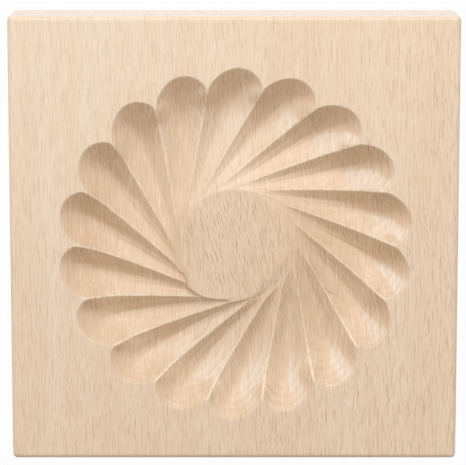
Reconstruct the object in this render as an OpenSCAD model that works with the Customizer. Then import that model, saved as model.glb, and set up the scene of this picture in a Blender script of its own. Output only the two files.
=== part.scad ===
// Wooden press mould for a round cookie: one square block of beech with a
// whirling rosette of flutes cut into its upper face. Dough is pressed into
// the hollow, or the block is pressed onto dough.
// Millimetres. The block lies on its plain back, centred on the origin, with
// the carved face up (+Z) and the grain along Y.

/* [Block] */
// Side of the square block
block_w = 120; // [106:1:160]
// Thickness of the board
block_t = 20; // [12:0.5:40]
// Radius to which all twelve edges are eased
edge_r = 1.3; // [0.4:0.1:3]

/* [Rosette] */
// Number of flutes round the rosette
flute_count = 18; // [12:1:24]
// Radius of the circle through the flutes' rounded tips
tip_r = 47.7; // [46:0.1:50]
// How far inside the tips the crests come up to the face, as pointed cusps
cusp_inset = 5.4; // [4:0.1:6.5]
// Direction of the first tip, in degrees clockwise from +Y
first_tip = 1.2; // [-10:0.1:10]
// Rosette centre to the right of the block's centre, as it was cut
rosette_right = 0.25; // [-1:0.05:1]
// Rosette centre below the block's centre, as it was cut
rosette_down = 1.45; // [0:0.05:2]

/* [Centre disc] */
// Radius of the flat disc in the middle
disc_r = 15; // [15:0.5:20]
// Depth of the disc below the face
disc_depth = 2.7; // [1:0.1:3.5]

/* [Flutes] */
// Depth of a flute's floor at its deepest
floor_depth = 7; // [5:0.1:8]
// Slope of the flanks on either side of a flute's bottom, in degrees
flank_angle = 32; // [24:1:36]
// Radius of the rounding between the two flanks
bottom_r = 2; // [1:0.1:4]
// Radius of the bend from a flute's floor up into the wall of its head
bend_r = 17.5; // [12:0.5:20]
// Slope of the head's wall up to the tip, in degrees
wall_angle = 40; // [34:1:46]
// Radius beyond which a flute opens out into its round head
head_r = 37.3; // [34:0.1:39]
// Radius of the circle that the straight flutes are tangent to
tangent_r = 14.6; // [8:0.1:14.8]
// Turn of a rounded head back towards its radius, in degrees
tip_turn = 1.4; // [0:0.1:4]

/* [Facets] */
// Facets across one flute, from crest to crest
facets_across = 12; // [6:2:12]
// Facets along one flute, from the disc to the tip
facets_along = 20; // [12:1:24]

/* [Hidden] */
// Height by which the carving's cutter stands above the face
over = 0.5;
// Height above the face at which its fluted surface ends, so that the rim that
// it cuts follows the surface's own points
lift = 0.02;
// Halvings in a search for a radius, enough for a billionth of a millimetre
halvings = 36;
half_pitch = 180 / flute_count;
columns = flute_count * facets_across;
rows = facets_along + 2;
// Radius at which the crests between the flutes come up to the face
cusp_r = tip_r - cusp_inset;
// Distance over which the two flanks blend into each other
blend = bottom_r * tan(flank_angle);
// Length of the bend along the flute, and its rise up to the wall
bend_run = bend_r * sin(wall_angle);
bend_rise = bend_r * (1 - cos(wall_angle));
// Radius at which the floor is deepest, where the bend begins
deepest_r = tip_r - bend_run - (floor_depth - bend_rise) / tan(wall_angle);
// Distance along a flute from the point where its line touches the tangent circle
start_s = along_at(disc_r);

// Distance along a flute's line at radius r
function along_at(r) = sqrt(r * r - tangent_r * tangent_r);

// Radius at distance s along a flute's line
function radius_at(s) = sqrt(s * s + tangent_r * tangent_r);

// Half the distance between two crests at radius r, square to the flute
function half_width_at(r) = sin(half_pitch) * along_at(r);

// Height of an arc of radius bow above its level point at distance x from it
function arc_height(x, bow) = bow - sqrt(bow * bow - x * x);

// Radius of the arc that rises by rise over the distance run
function bow_of(run, rise) = (run * run + rise * rise) / (2 * rise);

// Depth of a flute's floor at radius r: one arc down from the disc, then a
// bend up into a straight wall that meets the face at the tip
function floor_at(r) =
    r < deepest_r ? floor_depth - arc_height(deepest_r - r,
        bow_of(deepest_r - disc_r, floor_depth - disc_depth)) :
    r < deepest_r + bend_run ? floor_depth - arc_height(r - deepest_r, bend_r) :
    (tip_r - r) * tan(wall_angle);

// Height of a V with a rounded bottom, at distance y from its middle, for
// flanks of unit slope that blend over the distance b
function vee_height(y, b) = sqrt(y * y + b * b) - b;

// Distance over which the flanks blend at radius r: it grows past head_r, so
// that the V opens out into a round bowl
function blend_at(r) = norm([blend, max(0, r - head_r)]);

// Height of the crests above the floor at radius r, for flanks of unit slope
function unit_crest(r) = vee_height(half_width_at(r), blend_at(r));

// Share of a smooth rise from 0 at head_r to 1 at cusp_r and beyond
function head_share(r) =
    let (share = min(1, max(0, r - head_r) / (cusp_r - head_r)))
    share * share * (3 - 2 * share);

// Slope of the flanks at radius r: it grows past head_r, so that the crests
// come up to the face where the radius is cusp_r
function slope_at(r) =
    tan(flank_angle) * (1 - head_share(r))
    + floor_at(cusp_r) / unit_crest(cusp_r) * head_share(r);

// Depth at radius r and at u across a flute, from -1 at one crest to 1 at the
// next; near the middle it is never less than the disc's
function depth_at(r, u) =
    let (d = floor_at(r) - slope_at(r) * vee_height(half_width_at(r) * u, blend_at(r)))
    r < deepest_r ? max(d, disc_depth) : d;

// Radius, between lo and hi, where the surface has risen above the face by lift
function brim_r(u, lo = head_r, hi = tip_r + over, left = halvings) =
    let (mid = (lo + hi) / 2)
    left < 1 ? mid :
    depth_at(mid, u) > -lift ? brim_r(u, mid, hi, left - 1) : brim_r(u, lo, mid, left - 1);

// How far the head's turn has brought a flute back at radius r
function turn_at(r) = tip_turn * pow(max(0, r - head_r) / (tip_r - head_r), 2);

// Direction of a flute's middle at radius r, in degrees clockwise from +Y: a
// straight line tangent to a circle, turned back a little in its head
function heading_at(r) =
    first_tip + (acos(tangent_r / r) - turn_at(r)) - (acos(tangent_r / tip_r) - tip_turn);

// Place across a flute of a column of points, from -1 to 1
function across(column) = 2 * (column % facets_across) / facets_across - 1;

// Points of one column: from the disc's edge out to the brim, and from there
// straight up to the lid
function column_points(column) =
    let (u = across(column),
         middle = 2 * half_pitch * floor(column / facets_across),
         end_s = along_at(brim_r(u)))
    [for (row = [0:facets_along + 1])
        let (r = radius_at(start_s + (end_s - start_s) * min(row / facets_along, 1)),
             a = heading_at(r) + middle + half_pitch * u,
             z = row == 0 ? -disc_depth : row > facets_along ? over : -depth_at(r, u))
        [r * sin(a), r * cos(a), z]];

// Index of a point of the rosette's grid, which closes on itself
function at(column, row) = (column % columns) * rows + row;

// The space that the carving takes out: the fluted ring below, the disc in
// its middle, and a flat lid above the face
module rosette_cutter() {
    disc_centre = columns * rows;
    lid_centre = disc_centre + 1;
    points = concat(
        [for (column = [0:columns - 1], point = column_points(column)) point],
        [[0, 0, -disc_depth], [0, 0, over]]);
    ring = [for (column = [0:columns - 1], row = [0:facets_along], half = [0, 1])
        half == 0 ? [at(column, row), at(column + 1, row), at(column + 1, row + 1)]
                  : [at(column, row), at(column + 1, row + 1), at(column, row + 1)]];
    disc = [for (column = [0:columns - 1])
        [disc_centre, at(column + 1, 0), at(column, 0)]];
    lid = [for (column = [0:columns - 1])
        [lid_centre, at(column, facets_along + 1), at(column + 1, facets_along + 1)]];
    polyhedron(points = points, faces = concat(ring, disc, lid), convexity = 10);
}

// Rod along Z with the eased edge's radius, between two heights
module edge_rod(length) {
    cylinder(r = edge_r, h = length, center = true, $fn = 32);
}

// Block whose edges and corners are rounded: three crossing slabs, a rod along
// each edge and a ball at each corner
module eased_block() {
    w = block_w - 2 * edge_r;
    t = block_t - 2 * edge_r;
    translate([0, 0, block_t / 2]) {
        cube([block_w, w, t], center = true);
        cube([w, block_w, t], center = true);
        cube([w, w, block_t], center = true);
        for (x = [-w / 2, w / 2], y = [-w / 2, w / 2]) {
            translate([x, y, 0]) edge_rod(t);
            for (z = [-t / 2, t / 2]) translate([x, y, z]) sphere(r = edge_r, $fn = 32);
        }
        for (side = [-w / 2, w / 2], z = [-t / 2, t / 2]) {
            translate([side, 0, z]) rotate([90, 0, 0]) edge_rod(w);
            translate([0, side, z]) rotate([0, 90, 0]) edge_rod(w);
        }
    }
}

module stamp_block() {
    color("burlywood")
    difference() {
        eased_block();
        translate([rosette_right, -rosette_down, block_t]) rosette_cutter();
    }
}

stamp_block();
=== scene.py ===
"""Wooden press mould for a round cookie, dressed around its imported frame.

The mould is one square block of beech that lies on its plain back. A whirling
rosette of flutes round a flat disc is carved into its upper face. The block is
one closed surface, worked out with numpy as a grid of rows and columns: the
columns go round the rosette and the rows lead from the middle of the disc over
the flutes, the face, the eased edges and the sides to the middle of the back.

Shapes are worked out in millimetres and become metres when the mesh is made.
Directions in the rosette are degrees clockwise from +Y, seen from above.
"""

import logging
from dataclasses import dataclass, field
from enum import Enum
from math import cos, radians, sin, tan

import bmesh
import bpy
import numpy as np
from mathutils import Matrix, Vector


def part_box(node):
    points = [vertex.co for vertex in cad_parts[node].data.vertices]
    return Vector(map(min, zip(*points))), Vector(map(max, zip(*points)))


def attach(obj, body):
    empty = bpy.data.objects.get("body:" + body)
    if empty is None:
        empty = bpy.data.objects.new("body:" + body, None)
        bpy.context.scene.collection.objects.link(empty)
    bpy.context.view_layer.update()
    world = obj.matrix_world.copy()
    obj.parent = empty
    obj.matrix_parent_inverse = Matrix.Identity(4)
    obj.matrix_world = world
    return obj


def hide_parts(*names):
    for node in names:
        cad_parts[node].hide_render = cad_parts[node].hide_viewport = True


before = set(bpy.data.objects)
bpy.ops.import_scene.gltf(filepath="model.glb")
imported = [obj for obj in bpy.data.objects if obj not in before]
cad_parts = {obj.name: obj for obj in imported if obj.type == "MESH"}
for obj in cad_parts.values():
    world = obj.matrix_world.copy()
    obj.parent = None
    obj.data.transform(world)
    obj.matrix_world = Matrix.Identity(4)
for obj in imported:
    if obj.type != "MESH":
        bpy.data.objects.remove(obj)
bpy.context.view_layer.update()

LOG = logging.getLogger("press_mould")
NODE = "stamp_block"
BODY = "root"
MM = 0.001

Colour = tuple[float, float, float]
Size = tuple[float, float, float]
Socket = bpy.types.NodeSocket


class Maths(Enum):
    """Operations of the material's arithmetic."""

    ADD = "ADD"
    SUBTRACT = "SUBTRACT"
    MULTIPLY = "MULTIPLY"
    MAXIMUM = "MAXIMUM"
    POWER = "POWER"
    FRACTION = "FRACT"


def linear(red: int, green: int, blue: int) -> Colour:
    """Turn a display colour into scene-linear light.

    The formula is the usual display curve: a straight foot below 0.04045, and
    a power of 2.4 of the shifted value above it.

    Args:
        red: Red, from 0 to 255.
        green: Green, from 0 to 255.
        blue: Blue, from 0 to 255.

    Returns:
        The three values in linear light, from 0 to 1.
    """
    shares = np.array([red, green, blue]) / 255.0
    light = np.where(shares <= 0.04045, shares / 12.92, ((shares + 0.055) / 1.055) ** 2.4)
    return tuple(float(value) for value in light)


def smoothstep(low: float, high: float, value: np.ndarray) -> np.ndarray:
    """Rise smoothly from 0 at low to 1 at high: three squares less two cubes of the share."""
    share = np.clip((value - low) / (high - low), 0.0, 1.0)
    return share * share * (3.0 - 2.0 * share)


@dataclass(frozen=True)
class Span:
    """A smooth way from one number to another, while a value goes from low to high.

    Args:
        low: Value that gives start.
        high: Value that gives end.
        start: Result at low and before it.
        end: Result at high and past it.
    """

    low: float
    high: float
    start: float = 0.0
    end: float = 1.0

    def over(self, value: np.ndarray) -> np.ndarray:
        """Map an array: start, plus the way to end times the smooth step from low to high."""
        return self.start + (self.end - self.start) * smoothstep(self.low, self.high, value)


@dataclass(frozen=True)
class Pattern:
    """A smooth noise in the wood.

    Args:
        size_mm: Size of its features along X, Y and Z.
        shift: Features to shift by, so that no two patterns line up.
        detail: Number of finer layers.
        roughness: Strength of each finer layer.
    """

    size_mm: Size
    shift: Size = (0.0, 0.0, 0.0)
    detail: float = 2.0
    roughness: float = 0.5


@dataclass(frozen=True)
class RayLayer:
    """One layer of rays: a sliver round a random point of each cell.

    Args:
        cell_mm: Size of a cell along X, Y and Z.
        half_mm: Half size of a sliver along X, Y and Z.
        shift: Cells to shift by, so that no two layers line up.
        stray: Lean of a sliver for its random share.
        strength: Strength of a sliver for its random share.
        edge: Strength from a sliver's core to its surface.
        beside: Half widths from a sliver to the painted sheen line beside it.
    """

    cell_mm: Size
    half_mm: Size
    shift: Size = (0.0, 0.0, 0.0)
    stray: Span = Span(0.0, 1.0, -0.06, 0.12)
    strength: Span = Span(0.1, 0.95, 0.1, 1.0)
    edge: Span = Span(0.2, 1.0, 1.0, 0.0)
    beside: float = 2.0


@dataclass(frozen=True)
class Flute:
    """One flute of the rosette: a rounded V that opens out into a round head.

    Args:
        half_pitch: Half the turn from one flute to the next, in degrees.
        tip_r: Radius of the circle through the heads' tips.
        cusp_inset: How far inside the tips the crests come up to the face.
        first_tip: Direction of the first tip, in degrees clockwise from +Y.
        disc_r: Radius of the flat disc, where the flutes start.
        disc_depth: Depth of the disc.
        floor_depth: Depth of the floor at its deepest.
        flank_angle: Slope of the flanks, in degrees.
        bottom_r: Radius of the rounding between the flanks.
        bend_r: Radius of the bend from the floor up into the head's wall.
        wall_angle: Slope of the head's wall, in degrees.
        head_r: Radius beyond which the flute opens out into its head.
        tangent_r: Radius of the circle that the flutes' lines are tangent to.
        tip_turn: Turn of the head back towards its radius, in degrees.
        crest_round: Half the width over which a crest is sanded round.
        rim_round: Depth over which the rim at the face is sanded round.
        disc_round: Depth over which the disc blends into the flutes.
        halvings: Halvings in the search for the brim.
        search_past: How far past the tip that search begins.
        narrowest: Least half width, so that the crest's rounding has a width.
    """

    half_pitch: float
    tip_r: float = 47.7
    cusp_inset: float = 5.4
    first_tip: float = 1.2
    disc_r: float = 15.0
    disc_depth: float = 2.7
    floor_depth: float = 7.0
    flank_angle: float = 32.0
    bottom_r: float = 2.0
    bend_r: float = 17.5
    wall_angle: float = 40.0
    head_r: float = 37.3
    tangent_r: float = 14.6
    tip_turn: float = 1.4
    crest_round: float = 0.18
    rim_round: float = 0.07
    disc_round: float = 0.3
    halvings: int = 40
    search_past: float = 1.0
    narrowest: float = 1e-6

    @property
    def bend_run(self) -> float:
        """Length of the bend, seen from above: its radius times the sine of the wall's slope."""
        return self.bend_r * sin(radians(self.wall_angle))

    @property
    def deepest_r(self) -> float:
        """Radius at which the floor is deepest.

        It lies inside the tip by the bend's length and by the straight wall's,
        which is what is left of the depth over the tangent of its slope.

        Returns:
            The radius.
        """
        rise = self.bend_r * (1.0 - cos(radians(self.wall_angle)))
        wall_run = (self.floor_depth - rise) / tan(radians(self.wall_angle))
        return self.tip_r - self.bend_run - wall_run

    @property
    def cusp_r(self) -> float:
        """Radius at which the crests come up to the face."""
        return self.tip_r - self.cusp_inset

    def along_at(self, radius: np.ndarray) -> np.ndarray:
        """Distance along a flute's line: the other leg of the triangle on the tangent circle."""
        return np.sqrt(np.maximum(radius**2 - self.tangent_r**2, 0.0))

    def floor_at(self, radius: np.ndarray) -> np.ndarray:
        """Work out the depth of the floor.

        From the disc the floor follows one arc down to its deepest radius. Past
        it, it follows the bend, an arc of radius bend_r, and then a straight
        wall that meets the face at the tip.

        Args:
            radius: Distance from the rosette's centre.

        Returns:
            Depth below the face, negative past the tip.
        """
        run = self.deepest_r - self.disc_r
        rise = self.floor_depth - self.disc_depth
        bow = (run**2 + rise**2) / (2.0 * rise)
        inward = np.clip(self.deepest_r - radius, 0.0, run)
        outward = np.clip(radius - self.deepest_r, 0.0, self.bend_run)
        inner = self.floor_depth - bow + np.sqrt(bow**2 - inward**2)
        bend = self.floor_depth - self.bend_r + np.sqrt(self.bend_r**2 - outward**2)
        wall = (self.tip_r - radius) * tan(radians(self.wall_angle))
        outer = np.where(radius < self.deepest_r + self.bend_run, bend, wall)
        return np.where(radius < self.deepest_r, inner, outer)

    def vee_height(self, offset: np.ndarray, blend: np.ndarray) -> np.ndarray:
        """Height of a rounded V of unit slope: the hypotenuse of offset and blend, less blend."""
        return np.hypot(offset, blend) - blend

    def blend_at(self, radius: np.ndarray) -> np.ndarray:
        """Distance over which the flanks blend: it grows past head_r, which makes a bowl."""
        blend = self.bottom_r * tan(radians(self.flank_angle))
        return np.hypot(blend, np.maximum(radius - self.head_r, 0.0))

    def half_width_at(self, radius: np.ndarray) -> np.ndarray:
        """Half the distance between two crests, square to the flute."""
        return sin(radians(self.half_pitch)) * self.along_at(radius)

    def slope_at(self, radius: np.ndarray) -> np.ndarray:
        """Slope of the flanks.

        It is constant up to head_r and then rises smoothly to the slope at
        which the crests reach the face where the radius is cusp_r.

        Args:
            radius: Distance from the rosette's centre.

        Returns:
            Rise over run, square to the flute.
        """
        cusp = np.array(self.cusp_r)
        unit_crest = self.vee_height(self.half_width_at(cusp), self.blend_at(cusp))
        steepest = self.floor_at(cusp) / unit_crest
        flank = tan(radians(self.flank_angle))
        return flank + (steepest - flank) * smoothstep(self.head_r, self.cusp_r, radius)

    def depth_at(self, radius: np.ndarray, across: np.ndarray) -> np.ndarray:
        """Work out the depth of the carving.

        The depth is the floor's, less the height of the rounded V. Near a crest
        the distance from it is replaced by a parabola that has the same slope
        at crest_round, which rounds the crest. Near the middle the greater of
        this depth and the disc's holds, blended: half their sum, plus half the
        hypotenuse of their difference and disc_round.

        Args:
            radius: Distance from the rosette's centre.
            across: Place across the flute, from -1 at one crest to 1 at the next.

        Returns:
            Depth below the face, negative where the flute has run out.
        """
        half_width = np.maximum(self.half_width_at(radius), self.narrowest)
        from_crest = (1.0 - np.abs(across)) * half_width
        rounding = np.minimum(self.crest_round, 0.5 * half_width)
        rounded = (from_crest**2 + rounding**2) / (2.0 * rounding)
        from_crest = np.where(from_crest < rounding, rounded, from_crest)
        offset = half_width - from_crest
        depth = self.floor_at(radius) - self.slope_at(radius) * self.vee_height(
            offset, self.blend_at(radius))
        apart = np.hypot(depth - self.disc_depth, self.disc_round)
        inner = 0.5 * (depth + self.disc_depth + apart)
        return np.where(radius < self.deepest_r, inner, depth)

    def sanded(self, depth: np.ndarray) -> np.ndarray:
        """Round the rim: a parabola from the face into the carving over twice rim_round."""
        near = (depth + self.rim_round) ** 2 / (4.0 * self.rim_round)
        return np.where(depth > self.rim_round, depth, np.where(depth < -self.rim_round, 0.0, near))

    def brim_r(self, across: np.ndarray) -> np.ndarray:
        """Find the radius at which the sanded rim has reached the face, by halving.

        Args:
            across: Place across the flute, from -1 to 1.

        Returns:
            The radius for each place.
        """
        low = np.full_like(across, self.head_r)
        high = np.full_like(across, self.tip_r + self.search_past)
        for _ in range(self.halvings):
            middle = 0.5 * (low + high)
            inside = self.depth_at(middle, across) > -self.rim_round
            low = np.where(inside, middle, low)
            high = np.where(inside, high, middle)
        return 0.5 * (low + high)

    def heading_at(self, radius: np.ndarray) -> np.ndarray:
        """Direction of the flute's middle.

        The flute follows a straight line tangent to a circle, whose direction
        is the arc cosine of the tangent radius over the radius. Its head turns
        back by a share of tip_turn that grows with the square of the distance
        past head_r.

        Args:
            radius: Distance from the rosette's centre.

        Returns:
            Degrees clockwise from +Y.
        """
        share = np.maximum(radius - self.head_r, 0.0) / (self.tip_r - self.head_r)
        line = np.degrees(np.arccos(np.clip(self.tangent_r / radius, -1.0, 1.0)))
        tip_line = np.degrees(np.arccos(self.tangent_r / self.tip_r))
        return self.first_tip + line - self.tip_turn * share**2 - tip_line + self.tip_turn


@dataclass(frozen=True)
class Rosette:
    """The whirling rosette: flutes round a flat disc.

    Args:
        flute_count: Number of flutes.
        right: Centre to the right of the block's centre.
        down: Centre below the block's centre.
        across_steps: Columns of the grid in one flute.
        disc_shares: Rows on the disc, as shares of its radius.
        ring_rows: Rows from the disc to just short of the brim.
        rim_rows: Rows over the sanded rim.
        rim_run: Distance along a flute that the rim's rows take.
        edge_waypoints: Directions and radii of points on the edge of the disc's flat.
        edge_stray: How far a flute starts further in or out than the waypoints say.
        ramp_slope: Slope of the ramp past the disc's edge.
        ramp_depth: Depth of the ramp's foot below the disc.
        first_start: Smallest radius at which a flute begins.
        start_run: Distance over which a flute reaches its depth.
        ring_r: Radius past which every flute has its full depth.
        facet_depth: Depth of the gouge's soft facets.
        facet_waves: Numbers of waves across a flute that make up the facets.
        facet_drift: Way outward in which a wave's phase moves by its number, in radians.
        facet_full_r: Radius at which the facets reach their depth.
        facet_end: Strength of the facets towards the rim, by radius.
        seed: Seed of the gouge's chance movements.
    """

    flute_count: int = 18
    right: float = 0.25
    down: float = 1.45
    across_steps: int = 32
    disc_shares: tuple[float, ...] = (0.0, 0.3, 0.6, 0.78, 0.81, 0.84, 0.87, 0.9, 0.93, 0.96, 0.98)
    ring_rows: int = 84
    rim_rows: int = 9
    rim_run: float = 0.75
    edge_waypoints: tuple[tuple[float, float], ...] = (
        (0.0, 14.8), (20.0, 14.6), (45.0, 14.0), (70.0, 13.7), (105.0, 13.4), (145.0, 13.5),
        (170.0, 14.7), (188.0, 15.6), (206.0, 16.5), (227.0, 16.6), (240.0, 14.6),
        (255.0, 12.8), (270.0, 12.4), (285.0, 12.8), (300.0, 14.0), (320.0, 15.0))
    edge_stray: float = 0.5
    ramp_slope: float = 0.3
    ramp_depth: float = 0.7
    first_start: float = 14.1
    start_run: float = 0.9
    ring_r: float = 20.0
    facet_depth: float = 0.11
    facet_waves: tuple[float, ...] = (3.0, 5.0, 8.0)
    facet_drift: float = 27.0
    facet_full_r: float = 23.0
    facet_end: Span = Span(46.5, 42.0)
    seed: int = 5

    @property
    def flute(self) -> Flute:
        """The flute that repeats round the rosette."""
        return Flute(half_pitch=180.0 / self.flute_count)

    @property
    def columns(self) -> int:
        """Columns of the grid round the whole rosette."""
        return self.flute_count * self.across_steps

    def facets(self, radius: np.ndarray, across: np.ndarray, column: np.ndarray) -> np.ndarray:
        """Work out the soft facets that the gouge left along each flute.

        They are a sum of cosines across the flute, each divided by its number
        of waves. Their phases are the flute's own and drift with the radius.
        The sum fades out towards the crests, the disc and the rim.

        Args:
            radius: Distance from the rosette's centre, as rows and columns.
            across: Place across the flute, for each column.
            column: Index of each column.

        Returns:
            Depth to add, as rows and columns.
        """
        waves = np.array(self.facet_waves)[:, None, None]
        phase = np.random.default_rng(self.seed).uniform(
            0.0, 2.0 * np.pi, (len(waves), self.flute_count))
        drift = phase[:, None, column // self.across_steps] + radius * waves / self.facet_drift
        sum_of_waves = (np.cos(np.pi * waves * across + drift) / waves).sum(axis=0)
        begun = smoothstep(self.flute.disc_r, self.facet_full_r, radius)
        fade = begun * self.facet_end.over(radius) * (1.0 - across**2)
        return self.facet_depth * sum_of_waves * fade

    def disc_edge(self, turn: np.ndarray, across: np.ndarray, column: np.ndarray) -> np.ndarray:
        """Radius at which the disc's flat ends.

        It is read off the straight lines between the edge's waypoints at the
        point's direction. Each flute also starts a little further in or out,
        which fades to nothing at the crests.

        Args:
            turn: Direction, in radians clockwise from +Y, as rows and columns.
            across: Place across the flute, for each column.
            column: Index of each column.

        Returns:
            The radius, as rows and columns.
        """
        directions, radii = np.array(self.edge_waypoints, float).T
        stray = np.random.default_rng(self.seed + 1).uniform(
            -self.edge_stray, self.edge_stray, self.flute_count)
        even = np.interp(np.degrees(turn) % 360.0, directions, radii, period=360.0)
        return even + stray[column // self.across_steps] * (1.0 - across**2)

    def run_in(self, radius: np.ndarray, depth: np.ndarray, edge: np.ndarray) -> np.ndarray:
        """Let the flutes begin past the disc's edge, and the flat run down a gentle ramp there.

        Inside ring_r the depth below the disc is multiplied by the smooth step
        over start_run from the flute's beginning. The ramp lies below the disc
        by ramp_slope times the distance past the edge, and by ramp_depth at
        most. The deeper of the two holds.

        Args:
            radius: Distance from the rosette's centre, as rows and columns.
            depth: Depth below the face.
            edge: Radius at which the disc's flat ends.

        Returns:
            The new depth below the face.
        """
        flute = self.flute
        past = radius - np.maximum(edge, self.first_start)
        begun = np.where(radius < self.ring_r, smoothstep(0.0, self.start_run, past), 1.0)
        ramp = flute.disc_depth + np.clip(
            self.ramp_slope * (radius - edge), 0.0, self.ramp_depth)
        depth = flute.disc_depth + (depth - flute.disc_depth) * begun
        return np.where(radius < flute.deepest_r, np.maximum(depth, ramp), depth)

    def rows(self, top: float) -> np.ndarray:
        """Lay out the carving's points.

        Each column keeps its place across its flute. Its points are spaced
        evenly along the flute's line from the disc to rim_run short of the
        brim, and closely over the rim. The place at radius r and direction a
        is r times the sine and cosine of a from the rosette's centre.

        Args:
            top: Height of the face.

        Returns:
            Points as rows, columns and coordinates.
        """
        flute = self.flute
        column = np.arange(self.columns)
        across = 2.0 * (column % self.across_steps) / self.across_steps - 1.0
        middle = 2.0 * flute.half_pitch * (column // self.across_steps)
        start = float(flute.along_at(np.array(flute.disc_r)))
        brim = flute.along_at(flute.brim_r(across))
        share = np.linspace(0.0, 1.0, self.ring_rows)[:, None]
        ring = start + (brim - self.rim_run - start) * share
        rim_share = np.arange(1, self.rim_rows + 1)[:, None] / self.rim_rows
        along = np.concatenate([ring, brim - self.rim_run * (1.0 - rim_share)])
        radius = np.hypot(along, flute.tangent_r)
        heading = flute.heading_at(radius)
        cut = flute.depth_at(radius, across) + self.facets(radius, across, column)
        depth = flute.sanded(cut)
        disc_radius = np.outer(self.disc_shares, np.full(self.columns, flute.disc_r))
        radius = np.concatenate([disc_radius, radius])
        heading = np.concatenate([np.repeat(heading[:1], len(disc_radius), axis=0), heading])
        depth = np.concatenate([np.full_like(disc_radius, flute.disc_depth), depth])
        turn = np.radians(heading + middle + flute.half_pitch * across)
        depth = self.run_in(radius, depth, self.disc_edge(turn, across, column))
        east = self.right + radius * np.sin(turn)
        north = -self.down + radius * np.cos(turn)
        return np.stack([east, north, top - depth], axis=-1)


@dataclass(frozen=True)
class Outline:
    """Outline of the block with its corners, as a base point and an outward direction.

    Args:
        half_x: Half the width inside the eased edges.
        half_y: Half the length inside the eased edges.
        corner_steps: Columns that turn round each corner.
    """

    half_x: float
    half_y: float
    corner_steps: int = 12

    def columns(self, count: int, first: int) -> tuple[np.ndarray, np.ndarray]:
        """Share the columns out round the outline, clockwise from above.

        A quarter of the columns goes to each side, from the middle of one
        corner to the middle of the next. At a corner the base point stays and
        the direction turns evenly by a right angle. Along a side the base
        point moves evenly and the direction is square to it.

        Args:
            count: Number of columns.
            first: Column that lies at the middle of the corner at +X and +Y.

        Returns:
            Base points and unit directions, each as columns and two coordinates.
        """
        index = (np.arange(count) - first) % count
        quarter = index // (count // 4)
        place = index % (count // 4)
        half_corner = self.corner_steps // 2
        side_steps = count // 4 - self.corner_steps
        share = np.clip((place - half_corner) / side_steps, 0.0, 1.0)
        before = np.minimum(place, half_corner) / half_corner
        after = np.maximum(place - half_corner - side_steps, 0) / half_corner
        turn = np.radians(90.0 * quarter + 45.0 + 45.0 * before + 45.0 * after)
        direction = np.stack([np.sin(turn), np.cos(turn)], axis=-1)
        corners = np.array([[1, 1], [1, -1], [-1, -1], [-1, 1], [1, 1]], float)
        corners *= (self.half_x, self.half_y)
        start, end = corners[quarter], corners[quarter + 1]
        return start + (end - start) * share[:, None], direction


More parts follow.
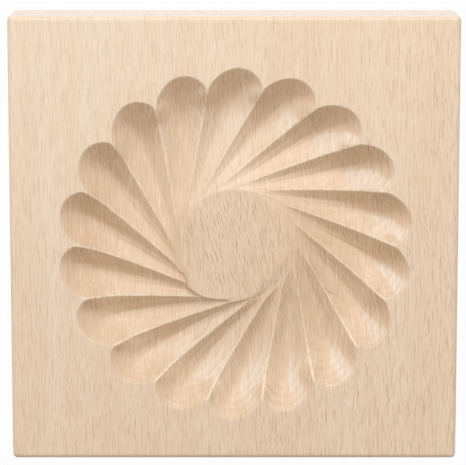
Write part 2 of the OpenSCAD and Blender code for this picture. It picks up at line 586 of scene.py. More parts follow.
@dataclass(frozen=True)
class NodeBench:
    """Short ways to put together a material's nodes.

    Args:
        tree: The node tree that the nodes go into.
    """

    tree: bpy.types.NodeTree

    def node(self, kind: str, **settings: object) -> bpy.types.Node:
        """Add a node.

        Args:
            kind: The node's type name.
            **settings: Properties to set on it.

        Returns:
            The new node.
        """
        made = self.tree.nodes.new(kind)
        for name, value in settings.items():
            setattr(made, name, value)
        return made

    def feed(self, socket: Socket, value: object) -> None:
        """Set a socket to a constant, or link another socket to it.

        Args:
            socket: The socket that takes the value.
            value: A number, a colour, or the socket that gives the value.
        """
        if isinstance(value, bpy.types.NodeSocket):
            self.tree.links.new(value, socket)
        else:
            socket.default_value = value

    def place(self, size_mm: Size, shift: Size = (0.0, 0.0, 0.0)) -> Socket:
        """Give object coordinates in units of a feature's size.

        Args:
            size_mm: Millimetres along X, Y and Z that become one unit.
            shift: Units to shift by.

        Returns:
            The socket with the coordinates.
        """
        source = self.node("ShaderNodeTexCoord")
        mapping = self.node("ShaderNodeMapping")
        self.feed(mapping.inputs["Vector"], source.outputs["Object"])
        mapping.inputs["Scale"].default_value = [1.0 / (size * MM) for size in size_mm]
        mapping.inputs["Location"].default_value = shift
        return mapping.outputs["Vector"]

    def noise(self, pattern: Pattern) -> Socket:
        """Add a smooth noise.

        Args:
            pattern: The noise's sizes.

        Returns:
            The socket with the value, around 0.5.
        """
        made = self.node("ShaderNodeTexNoise", noise_dimensions="3D")
        self.feed(made.inputs["Vector"], self.place(pattern.size_mm, pattern.shift))
        self.feed(made.inputs["Scale"], 1.0)
        self.feed(made.inputs["Detail"], pattern.detail)
        self.feed(made.inputs["Roughness"], pattern.roughness)
        return made.outputs["Fac"]

    def slivers(self, layer: RayLayer) -> tuple[Socket, Socket]:
        """Scatter a layer of slivers, with a painted sheen line beside each.

        The way from the nearest point is leant over by the grain's lean and a
        random share, and divided by the sliver's half sizes. The sum of the
        squares of its parts is then 1 at the sliver's surface. The painted
        sheen line is the same sliver, moved to the right: painted light
        caught on one side of each ray.

        Args:
            layer: The layer's sizes.

        Returns:
            The sockets with the dark and the painted sheen strength, from 0 to 1.
        """
        vector = self.place(layer.cell_mm, layer.shift)
        points = self.node("ShaderNodeTexVoronoi", voronoi_dimensions="3D", feature="F1")
        self.feed(points.inputs["Vector"], vector)
        self.feed(points.inputs["Scale"], 1.0)
        self.feed(points.inputs["Randomness"], 1.0)
        lots = self.node("ShaderNodeSeparateColor")
        self.feed(lots.inputs["Color"], points.outputs["Color"])
        way = self.node("ShaderNodeVectorMath", operation="SUBTRACT")
        self.feed(way.inputs[0], vector)
        self.feed(way.inputs[1], points.outputs["Position"])
        parts = self.node("ShaderNodeSeparateXYZ")
        self.feed(parts.inputs[0], way.outputs[0])
        lean = self.maths(Maths.ADD, self.attribute("grain_lean"),
                          self.span(lots.outputs["Green"], layer.stray))
        stretch = layer.cell_mm[1] / layer.cell_mm[0]
        east = self.maths(Maths.ADD, parts.outputs["X"],
                          self.product(parts.outputs["Y"], lean, stretch))
        wide, long, tall = (cell / half for cell, half in zip(layer.cell_mm, layer.half_mm))
        along = self.square(self.product(parts.outputs["Y"], long))
        upright = self.square(self.product(parts.outputs["Z"], tall))
        strength = self.span(lots.outputs["Red"], layer.strength)
        lines = []
        for aside in (0.0, layer.beside):
            offset = self.maths(Maths.SUBTRACT, self.product(east, wide), aside)
            squares = self.maths(Maths.ADD, self.square(offset),
                                 self.maths(Maths.ADD, along, upright))
            lines.append(self.product(self.span(squares, layer.edge), strength))
        return lines[0], lines[1]

    def maths(self, operation: Maths, first: object, second: object = 0.0) -> Socket:
        """Add one step of arithmetic on two values.

        Args:
            operation: What is done with them.
            first: The first value, a number or a socket.
            second: The second value.

        Returns:
            The socket with the result.
        """
        made = self.node("ShaderNodeMath", operation=operation.value)
        self.feed(made.inputs[0], first)
        self.feed(made.inputs[1], second)
        return made.outputs[0]

    def square(self, value: object) -> Socket:
        """Multiply a value by itself."""
        return self.maths(Maths.POWER, value, 2.0)

    def product(self, *factors: object) -> Socket:
        """Multiply two or more values.

        Args:
            *factors: The values, numbers or sockets.

        Returns:
            The socket with the result.
        """
        result = factors[0]
        for factor in factors[1:]:
            result = self.maths(Maths.MULTIPLY, result, factor)
        return result

    def span(self, value: Socket, span: Span) -> Socket:
        """Map a value over a span: start, plus the way to end times the smooth step.

        Args:
            value: The value.
            span: The span that it is mapped over.

        Returns:
            The socket with the result.
        """
        made = self.node("ShaderNodeMapRange", interpolation_type="SMOOTHSTEP")
        self.feed(made.inputs["Value"], value)
        self.feed(made.inputs["From Min"], span.low)
        self.feed(made.inputs["From Max"], span.high)
        self.feed(made.inputs["To Min"], span.start)
        self.feed(made.inputs["To Max"], span.end)
        return made.outputs["Result"]

    def attribute(self, name: str) -> Socket:
        """Read a value that the mesh holds at its points."""
        return self.node("ShaderNodeAttribute", attribute_name=name).outputs["Fac"]

    def lay(self, under: object, over: object, share: object) -> Socket:
        """Lay one colour over another.

        Args:
            under: Colour below.
            over: Colour on top.
            share: How strongly the upper one shows, from 0 to 1.

        Returns:
            The socket with the colour.
        """
        made = self.node("ShaderNodeMix", data_type="RGBA", blend_type="MIX")
        colours = [item for item in made.inputs if item.type == "RGBA"]
        self.feed(made.inputs["Factor"], share)
        for socket, value in zip(colours, (under, over)):
            self.feed(socket, (*value, 1.0) if isinstance(value, tuple) else value)
        return next(item for item in made.outputs if item.type == "RGBA")


@dataclass(frozen=True)
class BeechColours:
    """Colours of sanded, unvarnished beech, some of which paint light and shade.

    Args:
        pale: The paler wood, towards -X and +Y.
        warm: The warmer, darker wood, towards +X and -Y.
        light: The lightest fibres, and the painted sheen beside the rays.
        streak: The darker streaks along the fibres.
        line: The line that ends a year's growth.
        ray: The rays where the surface cuts them.
        cut: Where the carving cuts across the fibres.
        torn_and_shade: Fibres that lie open across the grain, with painted shade on flanks facing
            -Y.
        painted_sheen: A painted highlight: the whitish sheen of cuts that lean up towards -X and
            +Y.
        sawn: The sawn ends.
        worn_and_highlit: The crests, sanded smooth, with a painted highlight.
    """

    pale: Colour = linear(238, 217, 194)
    warm: Colour = linear(233, 206, 176)
    light: Colour = linear(246, 229, 209)
    streak: Colour = linear(204, 170, 136)
    line: Colour = linear(180, 142, 108)
    ray: Colour = linear(174, 126, 86)
    cut: Colour = linear(218, 192, 162)
    torn_and_shade: Colour = linear(212, 176, 138)
    painted_sheen: Colour = linear(242, 230, 216)
    sawn: Colour = linear(231, 220, 206)
    worn_and_highlit: Colour = linear(248, 230, 205)


@dataclass(frozen=True)
class BeechPatterns:
    """Patterns in the wood.

    Args:
        bands: Soft bands of warmer wood.
        layers: Streaks where the carving cuts through the layers of wood.
        patches: Patches in which the growth lines show.
        streaks: Narrow dark streaks.
        fibre: The fibres.
        chips: Breaks in the crests' wear and painted highlight.
        bend: Waves of the growth rings.
        uprights: Rays on the sawn ends.
        rays: Layers of rays, from small to large.
    """

    bands: Pattern = Pattern((6.0, 110.0, 40.0), detail=4.0, roughness=0.65)
    layers: Pattern = Pattern((2.2, 45.0, 7.0), (6.0, 2.0, 4.0), detail=3.0)
    patches: Pattern = Pattern((9.0, 12.0, 9.0), (4.0, 1.0, 2.0))
    streaks: Pattern = Pattern((0.55, 11.0, 5.0), (3.0, 1.0, 2.0))
    fibre: Pattern = Pattern((0.24, 6.0, 2.5), detail=3.0, roughness=0.65)
    chips: Pattern = Pattern((1.1, 1.1, 1.1), (7.0, 3.0, 5.0))
    bend: Pattern = Pattern((16.0, 60.0, 16.0), detail=3.0)
    uprights: Pattern = Pattern((0.4, 40.0, 7.0), (1.0, 2.0, 3.0), detail=3.0)
    rays: tuple[RayLayer, ...] = (
        RayLayer((0.75, 3.4, 5.0), (0.085, 1.6, 3.6)),
        RayLayer((1.1, 4.6, 7.0), (0.1, 2.3, 5.0), (5.3, 1.7, 0.4)),
        RayLayer((2.0, 6.5, 9.0), (0.12, 3.1, 6.0), (2.1, 7.9, 3.6)))


@dataclass(frozen=True)
class BeechShares:
    """How strongly each colour shows, by the value that it follows.

    Args:
        warm_side: The warm colour, by the way towards +X and -Y.
        warm_bands: More of the warm colour, by the bands.
        crossing: The cut colour, by how far the surface cuts across the grain, less on lit flanks
            as painted light.
        cut_layers: The cut colour on slopes, by the layers.
        painted_sheen_layers: The painted sheen, by the layers.
        ring_side: The growth rings on slopes, by the way towards +X and -Y.
        late_wood: The streak colour, by the share of the year's growth.
        line_start: The growth line, where it begins in the year.
        line_end: The growth line, where it ends in the year.
        line_patches: The growth line, by the patches.
        streaks: The streak colour, by the streaks.
        open_streaks: The streaks, by open grain and by painted shade on the flanks turned from +Y.
        fibre_slope: The fibres, by the slope.
        dark_fibre: The streak colour, by the fibre.
        light_fibre: The light colour, by the fibre.
        painted_ray_sheen: The light colour in the painted sheen lines beside the rays.
        end_arcs: The line colour on the sawn ends, by the share of the year's growth.
        end_rays: The line colour on the sawn ends, by the uprights.
        broken_crest: The crests' wear and highlight colour, by the chips.
    """

    warm_side: Span = Span(-0.8, 0.2, 0.0, 0.65)
    warm_bands: Span = Span(0.3, 0.7, -0.2, 0.55)
    crossing: Span = Span(0.0, 0.6, 0.0, 0.6)
    cut_layers: Span = Span(0.5, 0.7, 0.0, 0.5)
    painted_sheen_layers: Span = Span(0.6, 0.35, 0.55, 0.8)
    ring_side: Span = Span(-0.4, 0.4, 0.3, 1.0)
    late_wood: Span = Span(0.1, 0.9, 0.0, 0.25)
    line_start: Span = Span(0.8, 0.92)
    line_end: Span = Span(0.94, 1.0, 1.0, 0.0)
    line_patches: Span = Span(0.47, 0.72, 0.0, 0.5)
    streaks: Span = Span(0.5, 0.75, 0.0, 0.5)
    open_streaks: Span = Span(0.0, 1.0, 0.3, 1.0)
    fibre_slope: Span = Span(0.0, 1.0, 1.0, 0.8)
    dark_fibre: Span = Span(0.5, 0.8, 0.0, 0.6)
    light_fibre: Span = Span(0.5, 0.25, 0.0, 0.65)
    painted_ray_sheen: float = 0.6
    end_arcs: Span = Span(0.35, 1.0, 0.0, 0.2)
    end_rays: Span = Span(0.45, 0.75, 0.0, 0.22)
    broken_crest: Span = Span(0.35, 0.6, 0.25, 1.0)


@dataclass(frozen=True)
class BeechFinish:
    """Sanded, unvarnished beech with its grain along Y, and some painted light and shade.

    Args:
        colours: Its colours.
        patterns: Its patterns.
        shares: How strongly each colour shows.
        ring_mm: Distance between two growth rings.
        ring_bend: How far the rings wave, in rings.
        pith_x_mm: Place of the tree's middle to the right of the block.
        pith_z_mm: Place of the tree's middle above the back.
        lean_mm: Distance over which the way towards +X and -Y grows by one.
        lean_south: How much a way towards -Y counts, against one towards +X.
        roughness: Roughness, by the fibre.
        specular: Strength of the surface's plain reflection.
        ray_relief: Depth of a ray, against the fibres'.
        relief: Strength of the relief.
        relief_mm: Height of the relief.
    """

    colours: BeechColours = BeechColours()
    patterns: BeechPatterns = BeechPatterns()
    shares: BeechShares = BeechShares()
    ring_mm: float = 1.3
    ring_bend: float = 3.5
    pith_x_mm: float = -12.0
    pith_z_mm: float = -260.0
    lean_mm: float = 120.0
    lean_south: float = 0.7
    roughness: Span = Span(0.3, 0.7, 0.36, 0.5)
    specular: float = 0.5
    ray_relief: float = 0.8
    relief: float = 0.5
    relief_mm: float = 0.05

    def rings(self, bench: NodeBench) -> Socket:
        """Work out the growth rings.

        A point's distance from the tree's middle, the root of its squared
        parts along X and Z, is divided by the rings' distance and bent by a
        slow noise. Its fraction is the share of a year's growth.

        Args:
            bench: Where the nodes go.

        Returns:
            The share of the year's growth, from 0 to 1.
        """
        apart = bench.node("ShaderNodeSeparateXYZ")
        bench.feed(apart.inputs[0], bench.place(
            (self.ring_mm,) * 3,
            (-self.pith_x_mm / self.ring_mm, 0.0, -self.pith_z_mm / self.ring_mm)))
        east, up = (bench.square(apart.outputs[axis]) for axis in "XZ")
        distance = bench.maths(Maths.POWER, bench.maths(Maths.ADD, east, up), 0.5)
        bend = bench.product(bench.noise(self.patterns.bend), self.ring_bend)
        return bench.maths(Maths.FRACTION, bench.maths(Maths.ADD, distance, bend))

    def rays(self, bench: NodeBench) -> tuple[Socket, Socket]:
        """Scatter the rays: ribbons that stand on edge, short along Y and deep along Z.

        Args:
            bench: Where the nodes go.

        Returns:
            The strength of the dark rays and of the painted sheen lines beside them, from 0 to 1.
        """
        layers = [bench.slivers(layer) for layer in self.patterns.rays]
        dark, pale = (bench.maths(Maths.MAXIMUM, bench.maths(Maths.MAXIMUM, *kind[:2]), kind[2])
                      for kind in zip(*layers))
        return dark, pale

    def lean(self, bench: NodeBench) -> Socket:
        """Measure the way towards +X and -Y: X less lean_south times Y, in units of lean_mm.

        Args:
            bench: Where the nodes go.

        Returns:
            The socket with the way, 0 at the block's middle.
        """
        apart = bench.node("ShaderNodeSeparateXYZ")
        bench.feed(apart.inputs[0], bench.place((self.lean_mm,) * 3))
        return bench.maths(Maths.SUBTRACT, apart.outputs["X"],
                           bench.product(apart.outputs["Y"], self.lean_south))

    def ground(self, bench: NodeBench) -> Socket:
        """Mix the wood's ground colour: warmer towards +X and -Y, in soft bands along Y.

        Args:
            bench: Where the nodes go.

        Returns:
            The socket with the colour.
        """
        side = bench.span(self.lean(bench), self.shares.warm_side)
        bands = bench.span(bench.noise(self.patterns.bands), self.shares.warm_bands)
        tone = bench.maths(Maths.ADD, side, bands)
        return bench.lay(self.colours.pale, self.colours.warm, tone)

    def cuts(self, bench: NodeBench, colour: Socket) -> Socket:
        """Lay the carving's colours over the ground: darker cuts with painted light and shade, then
        the painted sheen.

        Args:
            bench: Where the nodes go.
            colour: The colour so far.

        Returns:
            The socket with the new colour.
        """
        # Less of the cut colour on lit flanks: painted light.
        crossing = bench.span(bench.attribute("cut_across_and_painted_light"), self.shares.crossing)
        colour = bench.lay(colour, self.colours.cut, crossing)
        # Open fibres, with painted shade laid on the flanks that face -Y.
        colour = bench.lay(colour, self.colours.torn_and_shade, bench.attribute("torn_and_shade"))
        layers = bench.noise(self.patterns.layers)
        darker = bench.product(bench.attribute("slope"),
                               bench.span(layers, self.shares.cut_layers))
        colour = bench.lay(colour, self.colours.cut, darker)
        # Painted highlight: a whitish sheen where the carving leans towards -X and +Y.
        painted_sheen = bench.product(bench.attribute("painted_sheen"),
                              bench.span(layers, self.shares.painted_sheen_layers))
        return bench.lay(colour, self.colours.painted_sheen, painted_sheen)

    def growth(self, bench: NodeBench, colour: Socket, year: Socket) -> Socket:
        """Lay the growth rings over the slopes: late wood, and a thin line at the year's end.

        Args:
            bench: Where the nodes go.
            colour: The colour so far.
            year: The share of the year's growth.

        Returns:
            The socket with the new colour.
        """
        shares = self.shares
        ringed = bench.product(bench.attribute("slope"),
                               bench.span(self.lean(bench), shares.ring_side))
        late = bench.product(bench.span(year, shares.late_wood), ringed)
        colour = bench.lay(colour, self.colours.streak, late)
        line = bench.product(
            bench.span(year, shares.line_start), bench.span(year, shares.line_end),
            bench.span(bench.noise(self.patterns.patches), shares.line_patches), ringed)
        return bench.lay(colour, self.colours.line, line)

    def fibres(self, bench: NodeBench, colour: Socket, fibre: Socket) -> Socket:
        """Lay the streaks and the dark and light fibres over the colour.

        Args:
            bench: Where the nodes go.
            colour: The colour so far.
            fibre: The fibres' noise.

        Returns:
            The socket with the new colour.
        """
        colours, shares = self.colours, self.shares
        # Streaks are stronger on the shaded flanks: partly painted shade.
        streaks = bench.product(
            bench.span(bench.noise(self.patterns.streaks), shares.streaks),
            bench.span(bench.attribute("open_grain_and_shade"), shares.open_streaks))
        colour = bench.lay(colour, colours.streak, streaks)
        smooth = bench.span(bench.attribute("slope"), shares.fibre_slope)
        dark = bench.product(smooth, bench.span(fibre, shares.dark_fibre))
        colour = bench.lay(colour, colours.streak, dark)
        light = bench.product(smooth, bench.span(fibre, shares.light_fibre))
        return bench.lay(colour, colours.light, light)

    def end_grain(self, bench: NodeBench, year: Socket) -> Socket:
        """Mix the colour of the sawn ends: the year's dark end as arcs, and rays as fine uprights.

        Args:
            bench: Where the nodes go.
            year: The share of the year's growth.

        Returns:
            The socket with the colour.
        """
        colours, shares = self.colours, self.shares
        uprights = bench.span(bench.noise(self.patterns.uprights), shares.end_rays)
        arcs = bench.lay(colours.sawn, colours.line, bench.span(year, shares.end_arcs))
        return bench.lay(arcs, colours.line, uprights)

    def colour(self, bench: NodeBench, fibre: Socket, dark: Socket, pale: Socket) -> Socket:
        """Lay all the wood's colours over each other.

        Args:
            bench: Where the nodes go.
            fibre: The fibres' noise.
            dark: The strength of the rays.
            pale: The strength of the painted sheen lines beside them.

        Returns:
            The socket with the colour.
        """
        colours = self.colours
        year = self.rings(bench)
        open_grain_and_shade = bench.attribute("open_grain_and_shade")
        mixed = self.growth(bench, self.cuts(bench, self.ground(bench)), year)
        mixed = self.fibres(bench, mixed, fibre)
        # Painted sheen: a pale line beside each ray.
        mixed = bench.lay(mixed, colours.light,
                          bench.product(pale, open_grain_and_shade, self.shares.painted_ray_sheen))
        mixed = bench.lay(mixed, colours.ray, bench.product(dark, open_grain_and_shade))
        mixed = bench.lay(mixed, self.end_grain(bench, year), bench.attribute("sawn_end"))
        # Wear along the crests, with a painted highlight.
        broken = bench.span(bench.noise(self.patterns.chips), self.shares.broken_crest)
        return bench.lay(mixed, colours.worn_and_highlit, bench.product(bench.attribute("worn_and_highlit"), broken))

    def material(self) -> bpy.types.Material:
        """Put the wood together.

        Returns:
            The material.
        """
        made = bpy.data.materials.new("sanded beech with painted light")
        made.use_nodes = True
        bench = NodeBench(made.node_tree)
        shader = made.node_tree.nodes["Principled BSDF"]
        fibre = bench.noise(self.patterns.fibre)
        dark, pale = self.rays(bench)
        bench.feed(shader.inputs["Base Color"], self.colour(bench, fibre, dark, pale))
        bench.feed(shader.inputs["Roughness"], bench.span(fibre, self.roughness))
        bench.feed(shader.inputs["Specular IOR Level"], self.specular)
        height = bench.maths(Maths.SUBTRACT, fibre, bench.product(dark, self.ray_relief))
        bump = bench.node("ShaderNodeBump")
        bump.inputs["Strength"].default_value = self.relief
        bump.inputs["Distance"].default_value = self.relief_mm * MM
        bench.feed(bump.inputs["Height"], height)
        bench.feed(shader.inputs["Normal"], bump.outputs["Normal"])
        return made


@dataclass(frozen=True)
class GrainAndPaintedLight:
    """How the surface meets the grain, and where light and shade are painted, as values that the
    mesh holds for the wood's colour.

    Args:
        place: Points of the surface, in millimetres.
        normal: Unit normals there.
        centre: Place of the rosette's axis.
        width: Side of the block.
        thickness: Thickness of the block.
        reach: Radius that the carving stays inside.
        margin: How far past the reach a point is well outside the carving.
        centre_r: Least radius that a direction is worked out with.
        sheen_towards: Direction of the painted sheen: 32 degrees from +Z, towards -X and +Y.
        rim: Strength of the carving's marks, by the depth.
        disc_edge: How much a point is on the disc, by the radius.
        flute_start: How much a point is in the flutes, by the radius.
        downhill: How much a flank faces -Y, by the normal.
        shade: How much a flank is turned away from +Y, by the normal.
        steep: The slope's value, by the normal's level part.
        inner: How much a point is nearer the axis than the heads, by the radius.
        glint: How much a flank gets the painted sheen, by the cosine of its angle from its
            direction.
        glint_reach: Strength of the painted sheen, by the radius.
        corner: Strength of the face's rays, by the way to +X and -Y in widths.
        side_rays: Strength of the rays on the sides, by the size of the normal's part along X.
        end: How much a side is a sawn end, by the normal.
        whirl: Lean of the rays, by the radius.
        painted_light_loss: How much less a lit flank that runs with the grain counts as cut across:
            painted light.
        disc_cut: How much the disc counts as cut across.
        torn_any: How torn every flute is.
        torn_crosswise: How much more torn a flute is that runs across the grain.
        painted_shade_downhill: How much more of that colour a flank gets that faces -Y, as painted
            shade.
        torn_disc: How torn the disc is.
        rays_any: How strongly the rays show everywhere in the carving.
        rays_disc: How much more strongly they show on the disc.
        rays_shaded: How much more strongly they show on the shaded flanks, as painted shade.
    """

    place: np.ndarray
    normal: np.ndarray
    centre: tuple[float, float]
    width: float
    thickness: float
    reach: float = 49.0
    margin: float = 1.0
    centre_r: float = 1.0
    sheen_towards: tuple[float, float, float] = (-0.406, 0.341, 0.848)
    rim: Span = Span(0.0, 0.6)
    disc_edge: Span = Span(15.5, 13.5)
    flute_start: Span = Span(13.5, 16.0)
    downhill: Span = Span(0.1, 0.5)
    shade: Span = Span(0.0, 0.4)
    steep: Span = Span(0.1, 0.55)
    inner: Span = Span(46.0, 40.0)
    glint: Span = Span(0.94, 0.99)
    glint_reach: Span = Span(24.0, 42.0, 0.15, 1.0)
    corner: Span = Span(-0.9, 0.9, 0.3, 0.7)
    side_rays: Span = Span(0.5, 1.0, 1.0, 0.3)
    end: Span = Span(0.7, 1.0, 0.0, 0.9)
    whirl: Span = Span(40.0, 12.0, 0.0, 0.17)
    painted_light_loss: float = 0.6
    disc_cut: float = 0.15
    torn_any: float = 0.2
    torn_crosswise: float = 0.32
    painted_shade_downhill: float = 0.44
    torn_disc: float = 0.2
    rays_any: float = 0.36
    rays_disc: float = 0.64
    rays_shaded: float = 0.5

    @property
    def radius(self) -> np.ndarray:
        """Distance of each point from the rosette's axis."""
        return np.hypot(self.place[:, 0] - self.centre[0], self.place[:, 1] - self.centre[1])

    @property
    def outside(self) -> np.ndarray:
        """Whether a point is well outside the carving."""
        return self.radius > self.reach + self.margin

    @property
    def upper(self) -> np.ndarray:
        """Whether a point is in the upper half of the block."""
        return self.place[:, 2] > self.thickness / 2

    @property
    def carved(self) -> np.ndarray:
        """How much a point is in the carving: the rim's value at its depth, within reach."""
        depth = self.thickness - self.place[:, 2]
        return self.rim.over(depth) * (self.radius < self.reach) * self.upper

    @property
    def disc(self) -> np.ndarray:
        """How much a point is on the disc."""
        return self.disc_edge.over(self.radius)

    @property
    def crosswise(self) -> np.ndarray:
        """How far a flute runs across the grain: the squared sine of its direction."""
        east = self.place[:, 0] - self.centre[0]
        return (east / np.maximum(self.radius, self.centre_r)) ** 2

    @property
    def facing_down(self) -> np.ndarray:
        """How much a flank faces -Y."""
        return self.downhill.over(-self.normal[:, 1])

    def cut_across_and_painted_light(self) -> np.ndarray:
        """Say how far the surface cuts across the grain, with painted light on lit flanks.

        It is the size of the normal's part along Y, less on lit flanks that run
        with the grain short of the heads, which is painted light, and a little more on the disc.

        Returns:
            The value at each point.
        """
        # Painted light: the lit flanks short of the heads get less of the cut colour.
        lit = (1.0 - self.facing_down) * self.inner.over(self.radius)
        kept = 1.0 - self.painted_light_loss * self.carved * lit * (1.0 - self.crosswise)
        return np.abs(self.normal[:, 1]) * kept + self.disc_cut * self.disc * self.carved

    def torn_and_shade(self) -> np.ndarray:
        """Say where the fibres lie open, with painted shade on the flanks that face -Y.

        Every flute gets a little, and more where it runs across the grain.
        The flanks that face -Y get more as painted shade. The disc has a value of its own.

        Returns:
            The value at each point.
        """
        # The part on flanks facing -Y is painted shade.
        share = (self.torn_any + self.torn_crosswise * self.crosswise
                 + self.painted_shade_downhill * self.facing_down)
        flutes = self.flute_start.over(self.radius) * share
        return self.carved * (flutes + self.torn_disc * self.disc)

    def painted_sheen(self) -> np.ndarray:
        """Painted highlight: high where the carving leans to the sheen's direction, and more so in
        the heads.
        """
        towards = self.normal @ np.array(self.sheen_towards, np.float32)
        return self.carved * self.glint.over(towards) * self.glint_reach.over(self.radius)

    def slope(self) -> np.ndarray:
        """Grow with the length of the normal's level part, from 0 on the flats."""
        return self.steep.over(np.hypot(self.normal[:, 0], self.normal[:, 1]))

    def sawn_end(self) -> np.ndarray:
        """High on the two ends, outside the eased edges."""
        return self.end.over(np.abs(self.normal[:, 1])) * self.outside

    def open_grain_and_shade(self) -> np.ndarray:
        """How strongly the rays show, with painted shade on the shaded flanks.

        On the face the value grows towards the corner at +X and -Y. In the
        carving it is rays_any, plus the greater of the disc's and the shaded
        flanks' shares; the shaded flanks' share is painted shade. On the two
        sides along the grain it is low.

        Returns:
            The value at each point.
        """
        face = self.corner.over((self.place[:, 0] - self.place[:, 1]) / self.width)
        # More dark rays on the flanks turned from +Y: painted shade.
        shaded = self.rays_shaded * self.shade.over(-self.normal[:, 1])
        cut = self.rays_any + np.maximum(self.rays_disc * self.disc, shaded)
        open_grain_and_shade = face + self.carved * (cut - face)
        side = self.side_rays.over(np.abs(self.normal[:, 0]))
        return open_grain_and_shade * np.where(self.outside, side, 1.0)

    def grain_lean(self) -> np.ndarray:
        """How far the rays lean per length: most on the disc."""
        return self.whirl.over(self.radius) * self.upper

    def values(self) -> dict[str, np.ndarray]:
        """Give every mark by its name."""
        marks = (self.cut_across_and_painted_light, self.torn_and_shade, self.painted_sheen, self.slope, self.sawn_end,
                 self.open_grain_and_shade, self.grain_lean)
        return {mark.__name__: mark() for mark in marks}


@dataclass
class MouldBlock:
    """The mould: one block of beech with the rosette carved into its face.

    Args:
        width: Size along X.
        length: Size along Y, with the grain.
        thickness: Size along Z.
        edge_r: Radius of the eased edges.
        rosette: The carving.
        finish: The wood.
        arc_steps: Rows round an eased edge.
        support: Distance of the rows that keep the flats flat, beside each edge.
        face_shares: Rows on the face, as shares of the way from the brim to the edge.
        wall_rows: Even rows on a side, with its two edges.
        back_shares: Rows on the back, as shares of the way from its middle to the edge.
        sharp_rows: Rows past the disc over which the crests have no wear or painted highlight yet.
        merge: Distance within which doubled points merge, in metres.
    """

    width: float
    length: float
    thickness: float
    edge_r: float = 1.3
    rosette: Rosette = field(default_factory=Rosette)
    finish: BeechFinish = field(default_factory=BeechFinish)
    arc_steps: int = 7
    support: float = 0.35
    face_shares: tuple[float, ...] = (0.1, 0.3, 0.6, 0.9)
    wall_rows: int = 8
    back_shares: tuple[float, ...] = (1.0, 0.99, 0.7, 0.4, 0.15, 0.0)
    sharp_rows: int = 12
    merge: float = 1e-7

    def outer_rows(self, brim: np.ndarray) -> np.ndarray:
        """Lay out the rows from the brim over the face, edges and sides to the back's middle.

        The face's rows divide the straight lines from the brim to the outline
        inside the eased edge. Round an edge, a point lies at the base point
        plus the edge's radius times the cosine of the climb outward and times
        its sine upward.

        Args:
            brim: Points of the last row of the carving.

        Returns:
            Points as rows, columns and coordinates.
        """
        count = self.rosette.columns
        outline = Outline(self.width / 2 - self.edge_r, self.length / 2 - self.edge_r)
        turn = np.degrees(np.arctan2(brim[:, 0], brim[:, 1]))
        first = int(np.argmin(np.abs(turn - 45.0)))
        base, direction = outline.columns(count, first)
        start, run = brim[:, :2], base - brim[:, :2]
        near = self.support / np.linalg.norm(run, axis=1, keepdims=True)
        shares = [near, *(np.full_like(near, share) for share in self.face_shares),
                  1.0 - near, np.ones_like(near)]
        rows = [(start + run * share, np.full(count, self.thickness)) for share in shares]
        climbs = np.radians(np.linspace(90.0, 0.0, self.arc_steps + 1))
        upper = [(base + self.edge_r * cos(climb) * direction,
                  np.full(count, self.thickness - self.edge_r * (1.0 - sin(climb))))
                 for climb in climbs[1:]]
        rows += upper
        wall = base + self.edge_r * direction
        low, high = self.edge_r, self.thickness - self.edge_r
        inner = np.linspace(high, low, self.wall_rows)[1:-1]
        levels = [high - self.support, *inner, low + self.support]
        rows += [(wall, np.full(count, level)) for level in levels]
        rows += [(place, self.thickness - level) for place, level in reversed(upper)]
        rows += [(base * share, np.zeros(count)) for share in self.back_shares]
        return np.stack([np.column_stack([place, level]) for place, level in rows])

    def rubbed_and_highlit(self, rows: np.ndarray, carved: int) -> np.ndarray:
        """Say how much each point has wear and a painted highlight: only the crests do.

        Args:
            rows: All points of the block.
            carved: Number of rows in the carving.

        Returns:
            A value from 0 to 1 for each row and column.
        """
        worn_and_highlit = np.zeros(rows.shape[:2])
        first = len(self.rosette.disc_shares) + self.sharp_rows
        worn_and_highlit[first:carved, ::self.rosette.across_steps] = 1.0
        return worn_and_highlit

    def build(self) -> bpy.types.Object:
        """Make the block's mesh, close it and dress it.

        Returns:
            The finished piece.
        """
        carving = self.rosette.rows(self.thickness)
        rows = np.concatenate([carving, self.outer_rows(carving[-1])])
        row_count, columns = rows.shape[:2]
        index = np.arange(row_count * columns).reshape(row_count, columns)
        after = np.roll(index, -1, axis=1)
        faces = np.stack([index[:-1], after[:-1], after[1:], index[1:]], axis=-1).reshape(-1, 4)
        mesh = bpy.data.meshes.new("beech_block")
        mesh.from_pydata((rows.reshape(-1, 3) * MM).tolist(), [], faces.tolist())
        self.store(mesh, "worn_and_highlit", self.rubbed_and_highlit(rows, len(carving)).reshape(-1))
        self.close(mesh)
        self.mark_grain_and_light(mesh)
        mesh.shade_smooth()
        mesh.materials.append(self.finish.material())
        piece = bpy.data.objects.new("beech_block", mesh)
        bpy.context.scene.collection.objects.link(piece)
        return piece

    def close(self, mesh: bpy.types.Mesh) -> None:
        """Merge the doubled points at the poles and corners, so that the surface is closed.

        Args:
            mesh: The block's mesh.
        """
        work = bmesh.new()
        work.from_mesh(mesh)
        bmesh.ops.remove_doubles(work, verts=work.verts, dist=self.merge)
        work.to_mesh(mesh)
        work.free()
        mesh.update()

    def store(self, mesh: bpy.types.Mesh, name: str, values: np.ndarray) -> None:
        """Store a value at each of the mesh's points."""
        held = mesh.attributes.new(name, "FLOAT", "POINT")
        held.data.foreach_set("value", values.astype(np.float32))

    def mark_grain_and_light(self, mesh: bpy.types.Mesh) -> None:
        """Store how the surface meets the grain, and where light and shade are painted, at each of
        the mesh's points.

        Args:
            mesh: The block's closed mesh.
        """
        place, normal = np.zeros((2, len(mesh.vertices) * 3), np.float32)
        mesh.vertices.foreach_get("co", place)
        mesh.vertex_normals.foreach_get("vector", normal)
        marks = GrainAndPaintedLight(place.reshape(-1, 3) / MM, normal.reshape(-1, 3),
                           (self.rosette.right, -self.rosette.down), self.width, self.thickness)
        for name, values in marks.values().items():
            self.store(mesh, name, values)


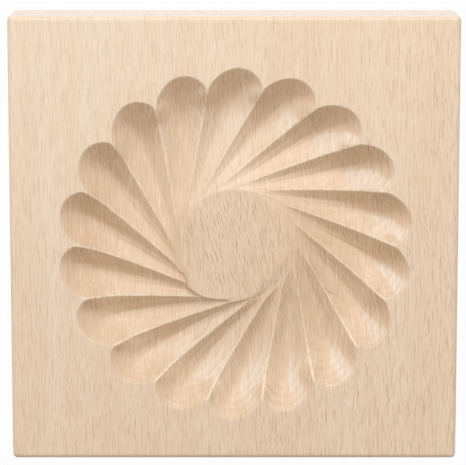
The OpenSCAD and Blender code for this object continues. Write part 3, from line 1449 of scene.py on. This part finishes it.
@dataclass(frozen=True)
class Lamp:
    """One soft square lamp.

    Args:
        name: The lamp's name.
        turn: Its direction, in degrees clockwise from +Y.
        climb: Its height above the horizon, in degrees.
        power: Its power, in watts.
        colour: Its colour.
        distance: Its distance from the point that it shines on, in metres.
        size: Its side, in metres.
    """

    name: str
    turn: float
    climb: float
    power: float
    colour: Colour = (0.97, 1.0, 1.04)
    distance: float = 0.8
    size: float = 0.4

    def hang(self, aim: Vector) -> None:
        """Hang the lamp so that it shines on a point.

        Args:
            aim: The point, in metres.
        """
        light = bpy.data.lights.new(self.name, "AREA")
        light.shape = "SQUARE"
        light.size = self.size
        light.energy = self.power
        light.color = self.colour
        hung = bpy.data.objects.new(self.name, light)
        turn, climb = radians(self.turn), radians(self.climb)
        towards = Vector((sin(turn) * cos(climb), cos(turn) * cos(climb), sin(climb)))
        hung.location = aim + self.distance * towards
        hung.rotation_euler = towards.to_track_quat("Z", "Y").to_euler()
        bpy.context.scene.collection.objects.link(hung)


@dataclass(frozen=True)
class Studio:
    """Floor, light and camera.

    Args:
        aim: Point on the face that the camera looks at, in metres.
        distance: Distance from the camera to that point, in metres.
        tilt: How far the camera stands towards +Y, in degrees from straight above.
        lens_mm: Focal length.
        sensor_mm: Width of the frame.
        lamps: The lamps.
        ambient: Strength of the light from all round.
        ambient_colour: Colour of that light.
        paper: Colour of the floor.
        paper_roughness: Roughness of the floor.
        floor_half: Half the side of the floor, in metres.
        floor_white: How much of the floor shows as plain white to the camera.
        floor_gap: Gap under the block, so that the two surfaces don't share a plane, in metres.
        opening: Half the side of the floor's opening, which shows the block's back, in metres.
    """

    aim: tuple[float, float, float] = (-0.00031, 0.00211, 0.02)
    distance: float = 0.721
    tilt: float = 9.55
    lens_mm: float = 208.4
    sensor_mm: float = 36.0
    lamps: tuple[Lamp, ...] = (Lamp("high lamp", 7.0, 42.0, 2.85, distance=0.65, size=0.42),
                               Lamp("side lamp", -75.0, 24.0, 0.85, size=0.5))
    ambient: float = 0.51
    ambient_colour: Colour = (1.04, 1.0, 0.95)
    paper: Colour = (0.75, 0.75, 0.75)
    paper_roughness: float = 0.9
    floor_half: float = 1.5
    floor_white: float = 0.96
    floor_gap: float = 0.0001
    opening: float = 0.057

    def camera(self) -> None:
        """Stand the camera where the photograph was taken."""
        lens = bpy.data.cameras.new("camera")
        lens.lens = self.lens_mm
        lens.sensor_width = self.sensor_mm
        stand = bpy.data.objects.new("camera", lens)
        lean = radians(self.tilt)
        stand.location = Vector(self.aim) + self.distance * Vector((0.0, sin(lean), cos(lean)))
        stand.rotation_euler = (-lean, 0.0, 0.0)
        bpy.context.scene.collection.objects.link(stand)
        bpy.context.scene.camera = stand

    def world(self) -> None:
        """Light the room evenly, and show it as white."""
        world = bpy.data.worlds.new("room")
        world.use_nodes = True
        bpy.context.scene.world = world
        bench = NodeBench(world.node_tree)
        shown = self.plain_rays(bench)
        ground = world.node_tree.nodes["Background"]
        colour = bench.lay(self.ambient_colour, (1.0, 1.0, 1.0), shown)
        bench.feed(ground.inputs["Color"], colour)
        strength = bench.span(shown, Span(0.0, 1.0, self.ambient, 1.0))
        bench.feed(ground.inputs["Strength"], strength)

    def plain_rays(self, bench: NodeBench) -> Socket:
        """Tell the rays that show a background from those that light the object.

        Args:
            bench: Where the nodes go.

        Returns:
            The socket that is 1 for camera, glossy and transmission rays, and 0 for the rest.
        """
        rays = bench.node("ShaderNodeLightPath")
        seen = bench.maths(Maths.MAXIMUM, rays.outputs["Is Camera Ray"],
                           rays.outputs["Is Glossy Ray"])
        return bench.maths(Maths.MAXIMUM, seen, rays.outputs["Is Transmission Ray"])

    def floor(self) -> None:
        """Lay the floor: white to the camera, with the object's shadow still on it.

        It is a square frame of four faces round the opening under the block.
        """
        corners = np.array([[-1, -1, 0], [1, -1, 0], [1, 1, 0], [-1, 1, 0]], float)
        points = np.concatenate([self.floor_half * corners, self.opening * corners])
        mesh = bpy.data.meshes.new("floor")
        mesh.from_pydata(points.tolist(), [],
                         [(0, 1, 5, 4), (1, 2, 6, 5), (2, 3, 7, 6), (3, 0, 4, 7)])
        paper = bpy.data.materials.new("white paper")
        paper.use_nodes = True
        bench = NodeBench(paper.node_tree)
        matt = paper.node_tree.nodes["Principled BSDF"]
        bench.feed(matt.inputs["Base Color"], (*self.paper, 1.0))
        bench.feed(matt.inputs["Roughness"], self.paper_roughness)
        glow = bench.node("ShaderNodeEmission")
        bench.feed(glow.inputs["Strength"], 1.0)
        both = bench.node("ShaderNodeMixShader")
        share = bench.product(self.plain_rays(bench), self.floor_white)
        bench.feed(both.inputs[0], share)
        bench.feed(both.inputs[1], matt.outputs[0])
        bench.feed(both.inputs[2], glow.outputs[0])
        bench.feed(paper.node_tree.nodes["Material Output"].inputs["Surface"], both.outputs[0])
        mesh.materials.append(paper)
        floor = bpy.data.objects.new("floor", mesh)
        floor.location.z = -self.floor_gap
        bpy.context.scene.collection.objects.link(floor)

    def build(self) -> None:
        """Set up the camera, the lights and the floor."""
        bpy.context.scene.view_settings.view_transform = "Standard"
        self.camera()
        for lamp in self.lamps:
            lamp.hang(Vector(self.aim))
        self.world()
        self.floor()


def main() -> None:
    """Build the mould and the studio around it."""
    logging.basicConfig(level=logging.INFO, format="%(name)s: %(message)s")
    low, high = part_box(NODE)
    size = (high - low) / MM
    block = MouldBlock(width=size.x, length=size.y, thickness=size.z)
    piece = block.build()
    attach(piece, BODY)
    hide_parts(NODE)
    LOG.info("%s: %d faces, riding on %s", piece.name, len(piece.data.polygons), BODY)
    Studio().build()
    LOG.info("camera, light and floor are in place")


if __name__ == "__main__":
    main()
